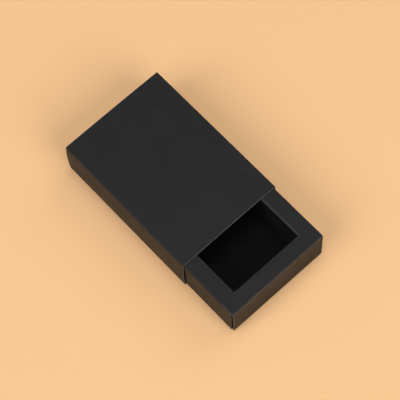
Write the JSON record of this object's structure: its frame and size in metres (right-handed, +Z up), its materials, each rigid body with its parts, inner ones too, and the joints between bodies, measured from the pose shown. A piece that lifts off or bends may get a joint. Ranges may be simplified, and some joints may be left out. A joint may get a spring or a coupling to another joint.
{
  "type": "sliding drawer gift box",
  "caption": "Open-ended folded card sleeve with a sliding card tray that has hollow rolled walls and wide flat rims around a rectangular well.",
  "frame": {"origin": "middle of the sleeve's footprint, on the surface that the box stands on", "axes": "+Z up, +Y towards the sleeve's back mouth and away from the drawn-out end of the tray, +X to the right when looking along +Y"},
  "size_m": [0.061, 0.1187, 0.025],
  "materials": {
    "sleeve_card": "black dyed-through card, uncoated and matt",
    "tray_card": "black dyed-through card, uncoated and matt",
    "dried_glue": "dried white glue, translucent and satin"
  },
  "bodies": {
    "sleeve": {"sleeve_top_panel": "sleeve_card", "sleeve_left_side": "sleeve_card", "sleeve_right_side": "sleeve_card", "sleeve_bottom_panel": "sleeve_card", "sleeve_glue_flap": "sleeve_card", "sleeve_seam_glue": "dried_glue"},
    "tray": {"tray_base": "tray_card", "tray_left_outer_wall": "tray_card", "tray_left_rim": "tray_card", "tray_left_inner_wall": "tray_card", "tray_left_foot": "tray_card", "tray_right_outer_wall": "tray_card", "tray_right_rim": "tray_card", "tray_right_inner_wall": "tray_card", "tray_right_foot": "tray_card", "tray_front_outer_wall": "tray_card", "tray_front_rim": "tray_card", "tray_front_inner_wall": "tray_card", "tray_front_foot": "tray_card", "tray_back_outer_wall": "tray_card", "tray_back_rim": "tray_card", "tray_back_inner_wall": "tray_card", "tray_back_foot": "tray_card", "tray_front_left_tab": "tray_card", "tray_front_right_tab": "tray_card", "tray_back_left_tab": "tray_card", "tray_back_right_tab": "tray_card", "tray_foot_glue": "dried_glue"}
  },
  "joints": [
    {"name": "tray_slide", "type": "slide", "parent": "sleeve", "child": "tray", "axis": [0, -1, 0], "range_m": [-0.12395, 0.05605]}
  ]
}
